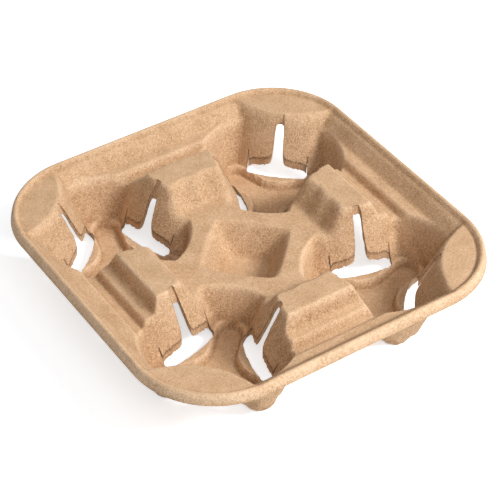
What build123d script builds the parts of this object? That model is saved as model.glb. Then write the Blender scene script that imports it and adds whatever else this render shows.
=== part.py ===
# Four-cup carrier tray, pressed from one sheet of paper pulp.
#
# The tray is a thin wall between two forms. The upper form is a block with the
# cup pockets, the side troughs and the middle well sunk into it. The lower form
# is the same, one wall thickness smaller, so that subtracting it from the upper
# form leaves an even wall. Three T-shaped slots per pocket are then cut through.
#
# Millimetres, +Z up. The origin is under the tray's centre, on the surface that
# the pocket floors stand on.

import os
from math import atan, cos, hypot, sin, sqrt

from build123d import *

# overall
tray_width = 216.0            # across the turned-down lip, the same both ways
tray_height = 44.0            # from the pocket floors to the rim's crest
corner_radius = 49.0          # of the lip, in plan
wall = 2.0                    # pulp thickness

# rim, measured inwards from the lip and down from the crest
lip_height = 6.0
lip_flare = 1.6               # the lip is this much wider at its lower edge
bead_width = 7.0              # from the lip to the inner line of the bead
bead_top_width = 2.5          # the flat along the bead's crest
web_depth = 2.0               # the corner webs lie this far below the crest

# pockets: cups held by three leaning panels each, with a lobe between panels
pocket_inset = 56.0           # from the lip to a pocket's centre
panel_count = 3
pocket_turn = 45.0            # the first panel of a pocket faces the tray's corner
panel_distance = 22.5         # from the pocket's centre, at the slot's crossbar
panel_slope = 0.43            # outward run of a panel for each mm of height
panel_corner_low = 5.0        # rounding between the panels, at the shelves
panel_corner_high = 27.0      # and above the rim
shelf_height = 5.0            # of the shelves under the panels, above the floor
foot_distance = 13.0          # from the pocket's centre to the shelf's riser
lobe_centre = 28.3            # from the pocket's centre to a lobe's axis
lobe_radius = 6.6             # of a lobe at the floor
lobe_slope = 0.25             # outward run of a lobe's wall for each mm of height

# T-slots
crossbar_height = 7.0         # of the crossbar's top edge, above the shelves
stem_width = 3.4
stem_top_depth = 0.5          # the stem's upper end, below the crest
crossbar_length = 36.0
crossbar_foot = 16.0          # from the pocket's centre to the crossbar's inner edge
slit_width = 1.2
slit_height = 7.0

# stepped trough along the middle of each side, from the lip inwards
rim_wall_top_inset = 6.3
rim_wall_foot_inset = 12.7
ledge_depth = 11.0
outer_ledge_inset = 19.5
trough_outer_inset = 20.5
trough_depth = 18.0
trough_inner_inset = 27.0
inner_ledge_outer_inset = 28.0
inner_ledge_inset = 34.0
block_outer_inset = 37.5

# raised blocks between the pockets, and the lower ground in the middle
block_depth = 1.0
block_inner_inset = 54.5      # from the lip to the block's inner edge
ground_depth = 16.0
block_end_slope = 0.53        # inward run of the block's end for each mm down

# middle well, a square turned 45 degrees
well_half_width = 21.0
well_depth = 33.0
well_slope = 0.58
well_edge_radius = 6.0
well_floor_fillet = 5.0

half_width = tray_width / 2
pocket_centre = half_width - pocket_inset
pocket_place = Pos(pocket_centre, pocket_centre) * Rotation(0, 0, pocket_turn)
panel_turn = 360.0 / panel_count
shelf_level = wall + shelf_height
crossbar_level = shelf_level + crossbar_height
clear_above = 3.0             # the sunk forms run out this far above the crest
clear_below = 5.0             # the lower form runs out this far below the tray
quarters = (0, 90, 180, 270)


def run_out(slope, thickness):
    """Horizontal shift that moves a leaning wall sideways by one thickness."""
    return thickness * hypot(1.0, slope)


def height_of(depth):
    """Height above the standing surface of a level given below the crest."""
    return tray_height - depth


def pocket_form(grow):
    """One pocket as a solid, its walls and floor moved out by grow."""
    low = wall - grow
    shelf = shelf_level - grow
    high = tray_height + clear_above
    panel_mid = panel_distance + run_out(panel_slope, grow)
    with BuildPart() as pocket:
        # room between the three panels, its corners rounder towards the top
        for level, round_off in ((shelf, panel_corner_low), (high, panel_corner_high)):
            reach = panel_mid + panel_slope * (level - crossbar_level)
            with BuildSketch(Plane.XY.offset(level)) as section:
                RegularPolygon(reach, panel_count, major_radius=False, rotation=panel_turn / 2)
                fillet(section.vertices(), round_off + grow)
        loft(ruled=True)
        # three rounded lobes that reach out between the panels, down to the floor
        with PolarLocations(0, panel_count, start_angle=panel_turn / 2):
            with Locations((lobe_centre, 0, low)):
                Cone(
                    lobe_radius + grow,
                    lobe_radius + grow + lobe_slope * (high - low),
                    high - low,
                    align=(Align.CENTER, Align.CENTER, Align.MIN),
                )
        # the floor: three arms that meet in a small triangle between the shelves
        with BuildSketch(Plane.XY.offset(low)):
            foot = foot_distance + grow
            RegularPolygon(foot, panel_count, major_radius=False, rotation=panel_turn / 2)
            with PolarLocations(lobe_centre / 2, panel_count, start_angle=panel_turn / 2):
                Rectangle(lobe_centre, 2 * (lobe_radius + grow))
        extrude(amount=shelf - low)
    return pocket.part


def trough_form(grow):
    """The stepped trough along one side, its walls and floors moved out by grow."""
    high = tray_height + clear_above
    steps = [
        (rim_wall_top_inset, web_depth, -1),
        (rim_wall_foot_inset, ledge_depth, -1),
        (outer_ledge_inset, ledge_depth, -1),
        (trough_outer_inset, trough_depth, -1),
        (trough_inner_inset, trough_depth, 1),
        (inner_ledge_outer_inset, ledge_depth, 1),
        (inner_ledge_inset, ledge_depth, 1),
        (block_outer_inset, block_depth, 1),
    ]
    line = [(half_width - inset - side * grow, height_of(depth) - grow) for inset, depth, side in steps]
    first, last = line[0], line[-1]
    with BuildPart() as trough:
        with BuildSketch(Plane.XZ.offset(-half_width)):
            with BuildLine():
                Polyline(*line, (last[0], high), (first[0], high), close=True)
            make_face()
        extrude(amount=tray_width)
    return trough.part


def corner_form(grow):
    """The room inside the four corner panels, which the troughs keep to."""
    low = wall - grow
    high = tray_height + clear_above
    reach_mid = pocket_centre * sqrt(2) + panel_distance + run_out(panel_slope, grow)
    with BuildPart() as room:
        for level in (low, high):
            reach = reach_mid + panel_slope * (level - crossbar_level)
            with BuildSketch(Plane.XY.offset(level)):
                Rectangle(2 * reach, 2 * reach, rotation=pocket_turn)
        loft(ruled=True)
    return room.part


def ground_form(grow):
    """The lower ground between the blocks' inner ends."""
    high = tray_height + clear_above
    edge = half_width - block_inner_inset + run_out(block_end_slope, grow)
    with BuildPart() as ground:
        for level in (height_of(ground_depth) - grow, high):
            reach = edge + block_end_slope * (level - height_of(block_depth))
            with BuildSketch(Plane.XY.offset(level)):
                Rectangle(2 * reach, 2 * reach)
        loft(ruled=True)
    return ground.part


def well_form(grow):
    """The square well in the middle, turned 45 degrees."""
    low = height_of(well_depth) - grow
    ground = height_of(ground_depth)
    high = ground + clear_above
    reach_mid = well_half_width + run_out(well_slope, grow)
    with BuildPart() as well:
        for level in (low, high):
            reach = reach_mid + well_slope * (level - ground)
            with BuildSketch(Plane.XY.offset(level)):
                Rectangle(2 * reach, 2 * reach, rotation=pocket_turn)
        loft(ruled=True)
        slanted = well.edges().filter_by(
            lambda edge: abs(edge.position_at(0).Z - edge.position_at(1).Z) > (high - low) / 2
        )
        fillet(slanted, well_edge_radius)
        fillet(well.faces().sort_by(Axis.Z)[0].edges(), well_floor_fillet)
    return well.part


def sunk_forms(grow):
    """Everything that is sunk into the block, with walls moved out by grow."""
    with BuildPart() as sunk:
        for turn in quarters:
            add(trough_form(grow), rotation=(0, 0, turn))
        add(corner_form(grow), mode=Mode.INTERSECT)
        for turn in quarters:
            with Locations(Rotation(0, 0, turn) * pocket_place):
                add(pocket_form(grow))
        add(ground_form(grow))
        add(well_form(grow))
    return sunk.part


def slot_cutter():
    """One T-slot through the panel that faces the pocket's centre from +X."""
    lean = atan(panel_slope)
    panel = Plane(
        origin=(panel_distance, 0, crossbar_level),
        x_dir=(0, 1, 0),
        z_dir=(cos(lean), 0, -sin(lean)),
    )
    stem_length = (height_of(stem_top_depth) - crossbar_level) * hypot(1.0, panel_slope)
    slit_place = (crossbar_length - slit_width) / 2
    crossbar_width = panel_distance + run_out(panel_slope, wall) - crossbar_foot
    with BuildPart() as slot:
        with BuildSketch(panel):
            with Locations((0, stem_length / 2)):
                Rectangle(stem_width, stem_length)
            with Locations((slit_place, 0), (-slit_place, 0)):
                Rectangle(slit_width, 2 * slit_height)
        extrude(amount=2 * wall, both=True)
        with BuildSketch(Plane.XY.offset(crossbar_level)):
            with Locations((crossbar_foot + crossbar_width / 2, 0)):
                Rectangle(crossbar_width, crossbar_length)
        extrude(amount=-(crossbar_height + wall))
    return slot.part


# Outer skin of the block: the lip flares a little towards its lower edge, and
# the bead's crest falls away to the corner webs on its inner side.
with BuildPart() as tray:
    with BuildSketch(Plane.XY.offset(height_of(lip_height))):
        RectangleRounded(tray_width, tray_width, corner_radius)
    with BuildSketch(Plane.XY.offset(tray_height)):
        top_width = tray_width - 2 * lip_flare
        RectangleRounded(top_width, top_width, corner_radius - lip_flare)
    loft(ruled=True)
    with BuildSketch():
        RectangleRounded(tray_width, tray_width, corner_radius)
    extrude(amount=height_of(lip_height))

    # the corner webs, below the crest of the bead
    web_width = tray_width - 2 * bead_width
    crest_width = tray_width - 2 * (lip_flare + bead_top_width)
    with BuildSketch(Plane.XY.offset(height_of(web_depth))):
        RectangleRounded(web_width, web_width, corner_radius - bead_width)
    with BuildSketch(Plane.XY.offset(tray_height)):
        RectangleRounded(crest_width, crest_width, corner_radius - lip_flare - bead_top_width)
    loft(ruled=True, mode=Mode.SUBTRACT)

    # blocks between the pockets stand a little higher than the webs
    block_length = block_inner_inset - block_outer_inset
    block_radius = half_width - (block_inner_inset + block_outer_inset) / 2
    block_rise = web_depth - block_depth
    for turn in quarters:
        with Locations(Rotation(0, 0, turn) * Pos(block_radius, 0, height_of(web_depth))):
            Box(block_length, pocket_centre, block_rise, align=(Align.CENTER, Align.CENTER, Align.MIN))

    add(sunk_forms(0.0), mode=Mode.SUBTRACT)

# The lower form: the room under the sheet, one wall thickness inside the upper.
with BuildPart() as under:
    with BuildSketch(Plane.XY.offset(-clear_below)):
        Rectangle(tray_width + 2 * clear_below, tray_width + 2 * clear_below)
    extrude(amount=clear_below + height_of(lip_height))
    inner_width = tray_width - 2 * wall
    with BuildSketch(Plane.XY.offset(height_of(lip_height))):
        RectangleRounded(inner_width, inner_width, corner_radius - wall)
    with BuildSketch(Plane.XY.offset(height_of(web_depth) - wall)):
        under_width = inner_width - 2 * lip_flare
        RectangleRounded(under_width, under_width, corner_radius - wall - lip_flare)
    loft(ruled=True)
    add(sunk_forms(wall), mode=Mode.SUBTRACT)

with BuildPart() as carrier_tray:
    add(tray.part)
    add(under.part, mode=Mode.SUBTRACT)

    # three T-slots to a pocket, one of them pointing at the tray's corner
    for turn in quarters:
        for panel in range(panel_count):
            panel_place = Rotation(0, 0, turn) * pocket_place * Rotation(0, 0, panel * panel_turn)
            with Locations(panel_place):
                add(slot_cutter(), mode=Mode.SUBTRACT)

os.makedirs("parts", exist_ok=True)
carrier_tray.part.label = "carrier_tray"
export_step(carrier_tray.part, "parts/carrier_tray.step")
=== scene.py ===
import math

import bmesh
import bpy
import numpy as np
from mathutils import Matrix, Vector


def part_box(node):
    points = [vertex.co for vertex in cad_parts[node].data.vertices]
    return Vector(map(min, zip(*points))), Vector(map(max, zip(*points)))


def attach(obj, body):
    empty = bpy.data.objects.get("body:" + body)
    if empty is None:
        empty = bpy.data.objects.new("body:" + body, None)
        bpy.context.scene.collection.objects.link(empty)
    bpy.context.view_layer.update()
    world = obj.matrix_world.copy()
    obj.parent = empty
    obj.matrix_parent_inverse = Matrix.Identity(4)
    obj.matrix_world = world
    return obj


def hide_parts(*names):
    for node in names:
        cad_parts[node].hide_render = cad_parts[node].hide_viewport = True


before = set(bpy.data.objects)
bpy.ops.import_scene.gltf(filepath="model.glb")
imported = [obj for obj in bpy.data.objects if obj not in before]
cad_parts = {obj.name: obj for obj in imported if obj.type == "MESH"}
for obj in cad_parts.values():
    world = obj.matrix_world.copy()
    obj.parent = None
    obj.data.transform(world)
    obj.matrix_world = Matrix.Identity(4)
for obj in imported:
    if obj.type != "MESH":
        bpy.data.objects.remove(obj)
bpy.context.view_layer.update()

# ---------------------------------------------------------------------------
# The tray: one sheet of light brown paper pulp, sucked onto a wire mould and
# dried. Its upper face is one height above each point of its plan, worked out
# below in millimetres from the crest of the rim, and its wall is even.
# ---------------------------------------------------------------------------
MM = 0.001
high_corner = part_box("carrier_tray")[1]
half_width = high_corner.x / MM
crest_height = high_corner.z / MM
wall = 2.0
corner_radius = 49.0

# rim bead: how far in from the lip's lower edge, and how high
bead_inset = np.array([-6.0, 0.0, 0.4, 0.9, 1.5, 2.2, 3.0, 3.9, 4.6, 5.2, 5.8, 400.0])
bead_height = np.array([-26.0, -6.0, -3.7, -1.9, -0.8, -0.15, 0.0, -0.25, -1.1, -2.4, -2.5, -2.1])

# stepped trough along each side: distance from the tray's middle, and height
trough_reach = np.array([70.5, 73.4, 76.0, 80.0, 81.4, 86.8, 88.6, 95.3, 103.4, 105.0])
trough_height = np.array([-1.0, -9.3, -10.5, -11.0, -15.4, -15.4, -10.8, -10.3, -1.0, 3.0])
trough_inner_rise = 2.8
trough_softening = (-0.8, -0.4, 0.0, 0.4, 0.8)
trough_end_round = 4.0

# raised block on each side of the low ground, with a fluted end
block_level = -1.0
block_half_length = 26.0
block_reach = (40.0, 75.0)
block_inner_edge = 53.5
block_end_rise = 1.9
flute_depth = 0.6
flute_width = 15.0
ground_level = -16.0
ground_round = 4.0

# middle well, a square turned 45 degrees with round corners
well_half_width = 21.2
well_corner = 3.5
well_corner_shift = 1.6
well_level = -34.0
well_run = 0.5
well_foot_round = 2.0
well_edge_round = 3.0

# pockets, three leaning panels each, bulging towards the cup, with a lobe between every two
pocket_centre = 52.0
panel_angles = np.radians([45.0, 165.0, 285.0])
lobe_angles = panel_angles + math.pi
panel_foot_distance = 21.2
panel_foot_level = -30.0
panel_run = 0.43
panel_bulge = 0.012
panel_round = 3.0
lobe_distance = 28.3
lobe_radius = 6.6
lobe_run = 0.25
lobe_round = 1.0
cap_round = 8.0
floor_level = -crest_height + wall
floor_round = 0.8
shelf_level = -37.0
shelf_edge_round = 0.6
foot_distance = 10.7
foot_round = 1.5

# webs: the rim's round edge to the pockets grows towards the tray's corners
rim_round = 2.0
web_extra_round = 3.0
web_start = 45.0
web_width = 20.0
pocket_edge_round = 3.0
far_up = 400.0


def soft_min(a, b, blend):
    """The lower of two heights, with a round of about the blend's depth where they cross."""
    share = np.clip(0.5 + 0.5 * (b - a) / blend, 0.0, 1.0)
    return b * (1.0 - share) + a * share - blend * share * (1.0 - share)


def soft_max(a, b, blend):
    """The higher of two heights, rounded in the same way."""
    return -soft_min(-a, -b, blend)


def inset_from_lip(x, y):
    """Distance in from a square with round corners, negative outside it."""
    over_x = np.abs(x) - (half_width - corner_radius)
    over_y = np.abs(y) - (half_width - corner_radius)
    outside = np.hypot(np.maximum(over_x, 0.0), np.maximum(over_y, 0.0))
    return corner_radius - outside - np.minimum(np.maximum(over_x, over_y), 0.0)


def pocket_height(x, y):
    """A pocket's upper face: the room between three leaning planes, joined to three
    round lobes and, below the shelves, to a floor of three arms. A plane rises with the
    distance from the pocket's centre less the bulge times the square of the way aside.
    The plane towards the tray's corner is given back as well."""
    from_x = np.abs(x) - pocket_centre
    from_y = np.abs(y) - pocket_centre
    towards = [
        from_x * math.cos(t) + from_y * math.sin(t)
        - panel_bulge * (from_y * math.cos(t) - from_x * math.sin(t)) ** 2
        for t in panel_angles
    ]
    planes = [panel_foot_level + (d - panel_foot_distance) / panel_run for d in towards]
    lobe_reach = lobe_distance + lobe_radius
    cap = floor_level + (np.hypot(from_x, from_y) - lobe_reach) / lobe_run
    room = soft_max(soft_max(planes[0], planes[1], panel_round), planes[2], panel_round)
    room = soft_max(soft_max(room, cap, cap_round), shelf_level, floor_round)
    lobes = far_up
    arms = far_up
    for t in lobe_angles:
        along = from_x * math.cos(t) + from_y * math.sin(t)
        aside = from_y * math.cos(t) - from_x * math.sin(t)
        off_centre = np.hypot(along - lobe_distance, aside)
        lobe = floor_level + (off_centre - lobe_radius) / lobe_run
        lobes = soft_min(lobes, lobe, lobe_round)
        off_arm = np.hypot(along - np.clip(along, 0.0, lobe_distance), aside)
        arms = np.minimum(arms, off_arm - lobe_radius)
    foot = np.maximum(np.maximum(towards[0], towards[1]), towards[2]) - foot_distance
    foot = np.maximum(foot, np.hypot(from_x, from_y) - lobe_distance)
    star = floor_level + soft_min(arms, foot, foot_round) / lobe_run
    pocket = soft_min(room, soft_min(star, lobes, lobe_round), shelf_edge_round)
    return soft_max(pocket, floor_level, floor_round), planes[0]


def upper_face(x, y):
    """Height of the upper face: the lowest of the rim and webs, the sunk forms, the low
    ground and the well, each joined to the next with a soft round. The trough's profile
    is averaged over five places a little way apart, which rounds its steps."""
    reach = np.maximum(np.abs(x), np.abs(y))
    across = np.minimum(np.abs(x), np.abs(y))
    top = np.interp(inset_from_lip(x, y), bead_inset, bead_height)
    on_block = (across < block_half_length) & (reach > block_reach[0]) & (reach < block_reach[1])
    top = np.where(on_block, np.maximum(top, block_level), top)

    trough = 0.0
    for shift in trough_softening:
        shifted = reach + shift
        inner_wall = block_level + (trough_reach[0] - shifted) * trough_inner_rise
        step = np.interp(shifted, trough_reach, trough_height)
        profile = np.where(shifted < trough_reach[0], inner_wall, step)
        trough = trough + profile / len(trough_softening)
    pocket, corner_plane = pocket_height(x, y)
    trough = soft_max(trough, corner_plane, trough_end_round)
    sunk = soft_min(pocket, trough, pocket_edge_round)

    flute = flute_depth * np.cos(across * 2.0 * math.pi / flute_width)
    block_end = block_level + (reach - block_inner_edge + flute) * block_end_rise
    ground = soft_max(np.full_like(reach, ground_level), block_end, ground_round)
    diagonal = np.hypot(x, well_corner) + np.hypot(y, well_corner) - well_corner_shift
    from_wall = diagonal / math.sqrt(2.0) - well_half_width
    well = soft_max(ground_level + from_wall / well_run, well_level, well_foot_round)

    web_share = np.clip((across - web_start) / web_width, 0.0, 1.0)
    face = soft_min(top, sunk, rim_round + web_extra_round * web_share)
    face = soft_min(face, ground, ground_round)
    return soft_min(face, well, well_edge_round)


def lower_face(x, y):
    """Height of the lower face: at each point the upper face is lowered by a ball as
    large as the wall is thick, so that the wall is even on the slopes too."""
    face = upper_face(x, y) - wall
    for share in (0.5, 0.85, 1.0):
        drop = wall * math.sqrt(1.0 - share * share)
        for turn in range(12):
            step_x = wall * share * math.cos(turn * math.pi / 6)
            step_y = wall * share * math.sin(turn * math.pi / 6)
            face = np.minimum(face, upper_face(x + step_x, y + step_y) - drop)
    return face


def sheet_plan(ring_reach):
    """Plan of a square net of points: ring k is the square with round corners that lies
    ring_reach[k] from the middle, and its points are spaced evenly along it."""
    rings = len(ring_reach) - 1
    step = np.arange(-rings, rings + 1)
    column, row = np.meshgrid(step, step)
    ring = np.maximum(np.abs(column), np.abs(row))
    share = np.minimum(np.abs(column), np.abs(row)) / np.maximum(ring, 1)
    half = ring_reach[ring]
    radius = np.clip(half - (half_width - corner_radius), 0.0, None)
    straight = half - radius
    along = share * (straight + radius * math.pi / 4)
    turn = np.where(radius > 0, (along - straight) / np.maximum(radius, 1e-6), 0.0)
    turn = turn.clip(0.0, None)
    major = straight + radius * np.cos(turn)
    minor = np.where(along < straight, along, straight + radius * np.sin(turn))
    flat_side = np.abs(column) >= np.abs(row)
    x = np.where(flat_side, major, minor) * np.sign(column)
    y = np.where(flat_side, minor, major) * np.sign(row)
    return x, y


def net_faces(size, first, flip):
    """Four-cornered faces of a size by size net whose points start at number first."""
    number = first + np.arange(size * size).reshape(size, size)
    corners = (number[:-1, :-1], number[:-1, 1:], number[1:, 1:], number[1:, :-1])
    faces = np.stack(corners, -1).reshape(-1, 4)
    return faces[:, ::-1] if flip else faces


def border_numbers(size, first):
    """Numbers of a net's outermost points, once round."""
    number = first + np.arange(size * size).reshape(size, size)
    sides = [number[0, :-1], number[:-1, -1], number[-1, :0:-1], number[:0:-1, 0]]
    return np.concatenate(sides)


# rings of the net: even over the middle, closer together round the bead
bead_rings = np.array([7.3, 6.6, 5.9, 5.1, 4.3, 3.5, 2.8, 2.2, 1.7, 1.3, 0.9, 0.6, 0.3, 0.0])
upper_rings = np.concatenate([np.linspace(0.0, half_width - 8.0, 117), half_width - bead_rings])

# the lower net is half as fine, and its last rings draw in to give the lip its wall
lip_width = 12.0
lip_draw = 1.7
lower_rings = upper_rings[::2]
lip_share = np.clip((lower_rings - (half_width - lip_width)) / lip_width, 0.0, 1.0)
lower_rings = lower_rings - lip_draw * lip_share ** 2

upper_x, upper_y = sheet_plan(upper_rings)
upper_z = upper_face(upper_x, upper_y)
lower_x, lower_y = sheet_plan(lower_rings)
lower_z = lower_face(lower_x, lower_y)
points = np.concatenate([
    np.stack([upper_x, upper_y, upper_z], -1).reshape(-1, 3),
    np.stack([lower_x, lower_y, lower_z], -1).reshape(-1, 3),
])
points[:, 2] = np.maximum(points[:, 2] + crest_height, 0.0)

# lip: each edge of the lower net meets two of the upper net's
upper_size = len(upper_x)
lower_size = len(lower_x)
upper_border = border_numbers(upper_size, 0)
lower_border = border_numbers(lower_size, upper_size * upper_size)
lower_after = np.roll(lower_border, -1)
upper_start = upper_border[::2]
upper_mid = upper_border[1::2]
lip_squares = np.stack([upper_start, lower_border, lower_after, upper_mid], -1)
lip_corners = np.stack([upper_mid, lower_after, np.roll(upper_start, -1)], -1)
faces = (
    net_faces(upper_size, 0, False).tolist()
    + net_faces(lower_size, upper_size * upper_size, True).tolist()
    + lip_squares.tolist()
    + lip_corners.tolist()
)

sheet_mesh = bpy.data.meshes.new("pulp_tray")
sheet_mesh.from_pydata((points * MM).tolist(), [], faces)
sheet_mesh.validate()
tray = bpy.data.objects.new("pulp_tray", sheet_mesh)
bpy.context.scene.collection.objects.link(tray)

# ---------------------------------------------------------------------------
# T-slots: three to a pocket, torn through the panels. The cut goes straight down, and its
# edges are left ragged.
# ---------------------------------------------------------------------------
# half of a slot's outline: distance from the pocket's centre, and aside. The stem comes
# first, then the crossbar, with a thin tear upwards near the crossbar's end.
slot_half = np.array([
    (30.9, 1.3), (30.6, 2.1), (29.6, 2.5), (27.0, 2.8), (24.6, 3.1), (23.1, 3.8), (22.4, 5.2),
    (22.2, 8.0), (22.1, 12.0), (22.1, 15.2), (21.9, 16.6), (21.5, 17.4), (21.6, 17.75),
    (24.0, 17.85), (24.0, 18.2), (21.0, 18.2), (19.4, 18.5), (17.8, 18.3), (16.6, 17.3),
    (16.2, 15.0), (16.3, 11.0), (16.3, 5.0),
])

# the crossbar follows the panel's bulge
crossbar_bulge = 0.008
crossbar_end = 18.0
slot_half[:, 0] += crossbar_bulge * np.minimum(slot_half[:, 1], crossbar_end) ** 2
slot_outline = np.concatenate([slot_half, slot_half[::-1] * (1.0, -1.0)])

# how far out each stem reaches, for each pocket and panel; its top is what lies past stem_neck
stem_tops = np.array([
    (32.4, 32.6, 31.8), (32.2, 31.9, 30.9), (31.8, 34.0, 31.8), (32.6, 33.6, 32.0),
])
stem_neck = 29.0

# above each stem the slot runs on as a groove that leaves a thin film of pulp
groove_half = np.array([(34.9, 0.9), (34.7, 1.7), (33.6, 2.1), (32.0, 2.3), (28.0, 2.4)])
groove_outline = np.concatenate([groove_half, groove_half[::-1] * (1.0, -1.0)])
groove_depth = 3.4

tear_step = 0.6
slot_tear = 0.16
groove_tear = 0.12
cutter_margin = 5.0
ragged = np.random.default_rng(7)


def torn_outline(outline, spacing, depth):
    """The outline with more points put in between its own, those moved in or out at
    random by about the depth: six parts of a smoothed draw and four of the draw itself."""
    after = np.roll(outline, -1, 0)
    parts = np.maximum(np.ceil(np.hypot(*(after - outline).T) / spacing), 1).astype(int)
    which = np.repeat(np.arange(len(outline)), parts)
    share = np.arange(len(which)) - np.repeat(np.cumsum(parts) - parts, parts)
    share = (share / parts[which])[:, None]
    line = outline[which] * (1.0 - share) + after[which] * share
    tangent = np.roll(line, -1, 0) - np.roll(line, 1, 0)
    normal = np.stack([tangent[:, 1], -tangent[:, 0]], -1)
    normal = normal / np.linalg.norm(tangent, axis=1)[:, None]
    coarse = ragged.normal(0.0, 1.0, len(line))
    smooth = (coarse + np.roll(coarse, 1) + np.roll(coarse, -1)) / 3.0
    loose = np.where(share[:, 0] > 0.0, depth, 0.0)
    return line + normal * (0.6 * smooth + 0.4 * coarse)[:, None] * loose[:, None]


def place_on_panel(outline, panel, quarter):
    """The outline moved from a panel's own frame to its place on the tray's plan: turned
    by the panel's angle, moved to the pocket, and turned by quarters to its corner."""
    x = pocket_centre + outline[:, 0] * math.cos(panel) - outline[:, 1] * math.sin(panel)
    y = pocket_centre + outline[:, 0] * math.sin(panel) + outline[:, 1] * math.cos(panel)
    spin = quarter * math.pi / 2
    spun_x = x * math.cos(spin) - y * math.sin(spin)
    spun_y = x * math.sin(spin) + y * math.cos(spin)
    return np.stack([spun_x, spun_y], -1)


slot_places = []
cutters = []
for kind, outline, tear in (
    ("slot", slot_outline, slot_tear), ("groove", groove_outline, groove_tear),
):
    cutter_points = []
    cutter_faces = []
    for quarter in range(4):
        for number, panel in enumerate(panel_angles):
            opened = outline.copy()
            if kind == "slot":
                opened[opened[:, 0] > stem_neck, 0] += stem_tops[quarter, number] - outline[0, 0]
            torn_line = torn_outline(opened, tear_step, tear)
            plan = place_on_panel(torn_line, panel, quarter)
            slot_places.append(plan)
            count = len(plan)
            if kind == "slot":
                low_level = np.full(count, -cutter_margin)
            else:
                climb = (torn_line[:, 0] - panel_foot_distance) / panel_run
                low_level = crest_height - groove_depth + panel_foot_level + climb
            high_level = np.full(count, crest_height + cutter_margin)
            first = sum(len(p) for p in cutter_points)
            cutter_points.append(np.column_stack([plan, low_level]))
            cutter_points.append(np.column_stack([plan, high_level]))
            ring = first + np.arange(count)
            after = np.roll(ring, -1)
            cutter_faces += np.stack([ring, after, after + count, ring + count], -1).tolist()
            cutter_faces.append(ring[::-1].tolist())
            cutter_faces.append((ring + count).tolist())
    cutter_mesh = bpy.data.meshes.new(kind + "_cutter")
    cutter_mesh.from_pydata((np.concatenate(cutter_points) * MM).tolist(), [], cutter_faces)
    cutter_mesh.validate()
    cutter = bpy.data.objects.new(kind + "_cutter", cutter_mesh)
    bpy.context.scene.collection.objects.link(cutter)
    cutters.append(cutter)
    cut = tray.modifiers.new(kind, "BOOLEAN")
    cut.operation = "DIFFERENCE"
    cut.solver = "MANIFOLD"
    cut.object = cutter
cut_tray = tray.evaluated_get(bpy.context.evaluated_depsgraph_get())
cut_mesh = bpy.data.meshes.new_from_object(cut_tray)
tray.modifiers.clear()
tray.data = cut_mesh
bpy.data.meshes.remove(sheet_mesh)
cut_mesh.name = "pulp_tray"
for cutter in cutters:
    bpy.data.meshes.remove(cutter.data)

# points left in the middle of an edge by the cuts are taken out again
cleaned = bmesh.new()
cleaned.from_mesh(cut_mesh)
mid_edge = [v for v in cleaned.verts if len(v.link_edges) == 2]
bmesh.ops.dissolve_verts(cleaned, verts=mid_edge)
cleaned.to_mesh(cut_mesh)
print("tray edges without two faces", sum(len(e.link_faces) != 2 for e in cleaned.edges))
cleaned.free()
print("tray triangles", sum(len(p.vertices) - 2 for p in cut_mesh.polygons))

# layer for the slots' dark edges, torn fibre and painted shade: how near each point of the upper
# face is to a slot's edge
slot_radius = 24.0
edge_width = 0.35
edge_depth = 1.5
place_values = np.empty(len(cut_mesh.vertices) * 3)
cut_mesh.vertices.foreach_get("co", place_values)
tray_x, tray_y, tray_z = place_values.reshape(-1, 3).T / MM
torn_and_shaded_edge = np.zeros(len(tray_x))
for plan in slot_places:
    middle_x, middle_y = plan.mean(0)
    near = np.flatnonzero(np.hypot(tray_x - middle_x, tray_y - middle_y) < slot_radius)
    gap_x = tray_x[near][:, None] - plan[:, 0]
    gap_y = tray_y[near][:, None] - plan[:, 1]
    gap = np.hypot(gap_x, gap_y).min(1)
    torn_and_shaded_edge[near] = np.maximum(torn_and_shaded_edge[near], np.exp(-(gap / edge_width) ** 2))
below_face = upper_face(tray_x, tray_y) + crest_height - tray_z
torn_and_shaded_edge = torn_and_shaded_edge * np.clip(1.0 - below_face / edge_depth, 0.0, 1.0)

# layer "steep": 0 on the flats, 1 from a slope of 60 degrees on
normal_values = np.empty(len(cut_mesh.vertices) * 3)
cut_mesh.vertex_normals.foreach_get("vector", normal_values)
steep = np.clip((1.0 - np.abs(normal_values.reshape(-1, 3)[:, 2])) / 0.5, 0.0, 1.0)

# layer of painted shade: how far the face around each point lies above it, so that creases
# count up and ridges down. It paints shade into the creases and light onto the ridges.
crease_reach = 1.7
crease_depth = 1.2
painted_crease_shade = -upper_face(tray_x, tray_y)
for turn in range(8):
    painted_crease_shade += upper_face(
        tray_x + crease_reach * math.cos(turn * math.pi / 4),
        tray_y + crease_reach * math.sin(turn * math.pi / 4),
    ) / 8.0
painted_crease_shade = np.clip(painted_crease_shade / crease_depth, -1.0, 1.0)

for name, values in (("torn_and_shaded_edge", torn_and_shaded_edge), ("steep", steep), ("painted_crease_shade", painted_crease_shade)):
    layer = cut_mesh.attributes.new(name, "FLOAT", "POINT")
    layer.data.foreach_set("value", values)
cut_mesh.shade_smooth()
cut_mesh.set_sharp_from_angle(angle=math.radians(50.0))

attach(tray, "root")
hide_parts("carrier_tray")

# ---------------------------------------------------------------------------
# The pulp's finish: light brown, dead matt, with short fibres pressed flat,
# and a grain that is rougher on the slopes than on the flats.
# ---------------------------------------------------------------------------
dark_pulp = (0.38, 0.215, 0.110, 1.0)
middle_pulp = (0.64, 0.410, 0.238, 1.0)
light_pulp = (0.86, 0.615, 0.410, 1.0)
# near-black brown for the slots' edges: torn fibre and painted shade
torn_and_shaded_pulp = (0.085, 0.036, 0.014, 1.0)
mottle_scale = 70.0
fibre_scale = 680.0
grain_scale = 1300.0
grain_contrast = 0.38
# strength of the painted shade in the creases and the painted light on the ridges
crease_shade_strength = 0.22
grain_height = 0.0006

pulp = bpy.data.materials.new("moulded_pulp")
pulp.use_nodes = True
nodes = pulp.node_tree.nodes
links = pulp.node_tree.links
shader = nodes["Principled BSDF"]
shader.inputs["Roughness"].default_value = 0.95
shader.inputs["Specular IOR Level"].default_value = 0.15


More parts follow.
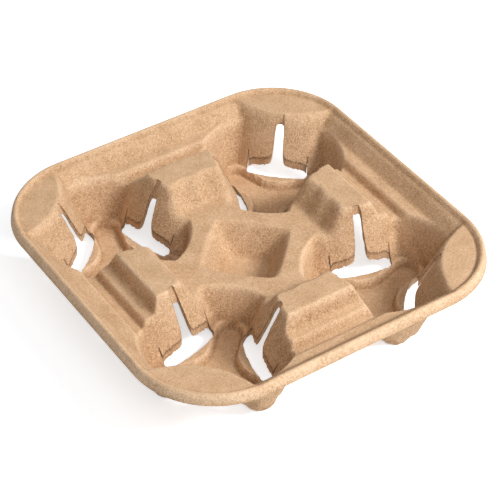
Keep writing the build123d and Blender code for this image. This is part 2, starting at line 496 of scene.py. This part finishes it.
def noise(coordinates, scale, detail, rough=0.6, distortion=0.0):
    """A noise texture's grey value, with scale in cycles for each metre."""
    texture = nodes.new("ShaderNodeTexNoise")
    texture.inputs["Scale"].default_value = scale
    texture.inputs["Detail"].default_value = detail
    texture.inputs["Roughness"].default_value = rough
    texture.inputs["Distortion"].default_value = distortion
    links.new(coordinates, texture.inputs["Vector"])
    return texture.outputs["Fac"]


def spread(value, low, high, to_low, to_high):
    """The value stretched so that low becomes to_low and high becomes to_high."""
    node = nodes.new("ShaderNodeMapRange")
    names = ("From Min", "From Max", "To Min", "To Max")
    for name, number in zip(names, (low, high, to_low, to_high)):
        node.inputs[name].default_value = number
    links.new(value, node.inputs["Value"])
    return node.outputs["Result"]


def combine(operation, first, second):
    """Two grey values put together by one arithmetic step."""
    node = nodes.new("ShaderNodeMath")
    node.operation = operation
    for socket, value in zip(node.inputs, (first, second)):
        if isinstance(value, float):
            socket.default_value = value
        else:
            links.new(value, socket)
    return node.outputs["Value"]


def layer_value(name):
    """The value of one of the mesh's own layers."""
    node = nodes.new("ShaderNodeAttribute")
    node.attribute_name = name
    return node.outputs["Fac"]


place = nodes.new("ShaderNodeTexCoord").outputs["Object"]
mottle = noise(place, mottle_scale, 3.0)
grain = noise(place, grain_scale, 2.0)
fibre = noise(place, fibre_scale, 4.0, 0.7, 1.2)
roughened = spread(layer_value("steep"), 0.0, 1.0, 0.85, 1.3)

# tone: fine grain and fibre about an even middle, stronger on the slopes, with painted shade
# darkening the creases and painted light on the ridges
fine = combine("ADD", spread(grain, 0.3, 0.7, -0.5, 0.5), spread(fibre, 0.3, 0.7, -0.5, 0.5))
tone = combine("MULTIPLY", combine("MULTIPLY", fine, roughened), grain_contrast)
tone = combine("ADD", tone, spread(mottle, 0.3, 0.7, 0.4, 0.6))
tone = combine("SUBTRACT", tone, combine("MULTIPLY", layer_value("painted_crease_shade"), crease_shade_strength))

shades = nodes.new("ShaderNodeValToRGB")
ramp = shades.color_ramp
ramp.elements[0].position = 0.1
ramp.elements[0].color = dark_pulp
ramp.elements[1].position = 0.9
ramp.elements[1].color = light_pulp
ramp.elements.new(0.5).color = middle_pulp
links.new(tone, shades.inputs["Fac"])

# the slots' upper edges are painted darker with uneven fibre in a thin line: partly torn fibre,
# partly painted shade where the cut walls and bent flap edges lie in shade
edge_line = combine("POWER", layer_value("torn_and_shaded_edge"), 4.0)
frayed_and_shaded = combine("MULTIPLY", edge_line, spread(fibre, 0.38, 0.52, 0.25, 1.0))
edge_shade_and_fibre = nodes.new("ShaderNodeMix")
edge_shade_and_fibre.data_type = "RGBA"
links.new(frayed_and_shaded, edge_shade_and_fibre.inputs["Factor"])
links.new(shades.outputs["Color"], edge_shade_and_fibre.inputs["A"])
edge_shade_and_fibre.inputs["B"].default_value = torn_and_shaded_pulp
links.new(edge_shade_and_fibre.outputs["Result"], shader.inputs["Base Color"])

bump = nodes.new("ShaderNodeBump")
bump.inputs["Distance"].default_value = grain_height
links.new(combine("MULTIPLY", roughened, 0.6), bump.inputs["Strength"])
links.new(combine("ADD", grain, fibre), bump.inputs["Height"])
links.new(bump.outputs["Normal"], shader.inputs["Normal"])
tray.data.materials.clear()
tray.data.materials.append(pulp)

# ---------------------------------------------------------------------------
# Stage: a white floor a tenth of a millimetre under the feet, a key light and
# a wider fill light from the front, an even white sky, and the camera.
# ---------------------------------------------------------------------------
floor_size = 4.0
floor_drop = 0.0001
floor_colour = (0.86, 0.89, 0.93, 1.0)
floor_glow = 0.62
sky_strength = 0.31

floor_corners = [
    (-floor_size, -floor_size, 0), (floor_size, -floor_size, 0),
    (floor_size, floor_size, 0), (-floor_size, floor_size, 0),
]
floor_mesh = bpy.data.meshes.new("floor")
floor_mesh.from_pydata(floor_corners, [], [(0, 1, 2, 3)])
floor_mesh.transform(Matrix.Translation((0.0, 0.0, -floor_drop)))
floor = bpy.data.objects.new("floor", floor_mesh)
bpy.context.scene.collection.objects.link(floor)

# the floor glows for the camera alone, so that it reads white and lights nothing
floor_paint = bpy.data.materials.new("white_floor")
floor_paint.use_nodes = True
floor_nodes = floor_paint.node_tree.nodes
floor_links = floor_paint.node_tree.links
floor_shader = floor_nodes["Principled BSDF"]
floor_shader.inputs["Base Color"].default_value = floor_colour
floor_shader.inputs["Roughness"].default_value = 1.0
floor_shader.inputs["Specular IOR Level"].default_value = 0.0
floor_shader.inputs["Emission Color"].default_value = (1.0, 1.0, 1.0, 1.0)
light_path = floor_nodes.new("ShaderNodeLightPath")
lift = floor_nodes.new("ShaderNodeMath")
lift.operation = "MULTIPLY"
lift.inputs[1].default_value = floor_glow
floor_links.new(light_path.outputs["Is Camera Ray"], lift.inputs[0])
floor_links.new(lift.outputs["Value"], floor_shader.inputs["Emission Strength"])
floor_mesh.materials.append(floor_paint)

world = bpy.data.worlds.new("studio")
bpy.context.scene.world = world
world.use_nodes = True
sky = world.node_tree.nodes["Background"]
sky.inputs["Color"].default_value = (1.0, 1.0, 1.0, 1.0)
sky.inputs["Strength"].default_value = sky_strength


def area_light(name, place, size, power):
    """A square soft white light at place, pointed at the middle of the tray."""
    lamp = bpy.data.lights.new(name, "AREA")
    lamp.size = size
    lamp.energy = power
    holder = bpy.data.objects.new(name, lamp)
    holder.location = place
    holder.rotation_mode = "QUATERNION"
    holder.rotation_quaternion = (-place).to_track_quat("-Z", "Y")
    bpy.context.scene.collection.objects.link(holder)


area_light("key", Vector((0.72, -1.0, 1.15)), 0.5, 26.0)
area_light("fill", Vector((-0.45, -1.2, 1.8)), 1.2, 9.0)

# camera: turned and raised about a point near the middle of the rim's crest
azimuth = math.radians(-34.17)
elevation = math.radians(41.27)
roll = math.radians(0.37)
distance = 0.9742
aim_right = 0.00215
aim_down = 0.01331

back = Vector((
    math.sin(azimuth) * math.cos(elevation),
    -math.cos(azimuth) * math.cos(elevation),
    math.sin(elevation),
))
level_right = Vector((math.cos(azimuth), math.sin(azimuth), 0.0))
level_up = back.cross(level_right)
right = level_right * math.cos(roll) + level_up * math.sin(roll)
up = level_up * math.cos(roll) - level_right * math.sin(roll)
aim = Vector((0.0, 0.0, high_corner.z)) + right * aim_right - up * aim_down

camera_data = bpy.data.cameras.new("camera")
camera_data.sensor_width = 36.0
camera_data.lens = 127.9
camera_data.clip_start = 0.05
camera = bpy.data.objects.new("camera", camera_data)
bpy.context.scene.collection.objects.link(camera)
facing = Matrix((right, up, back)).transposed().to_4x4()
camera.matrix_world = Matrix.Translation(aim + back * distance) @ facing
bpy.context.scene.camera = camera
bpy.context.scene.view_settings.view_transform = "Standard"
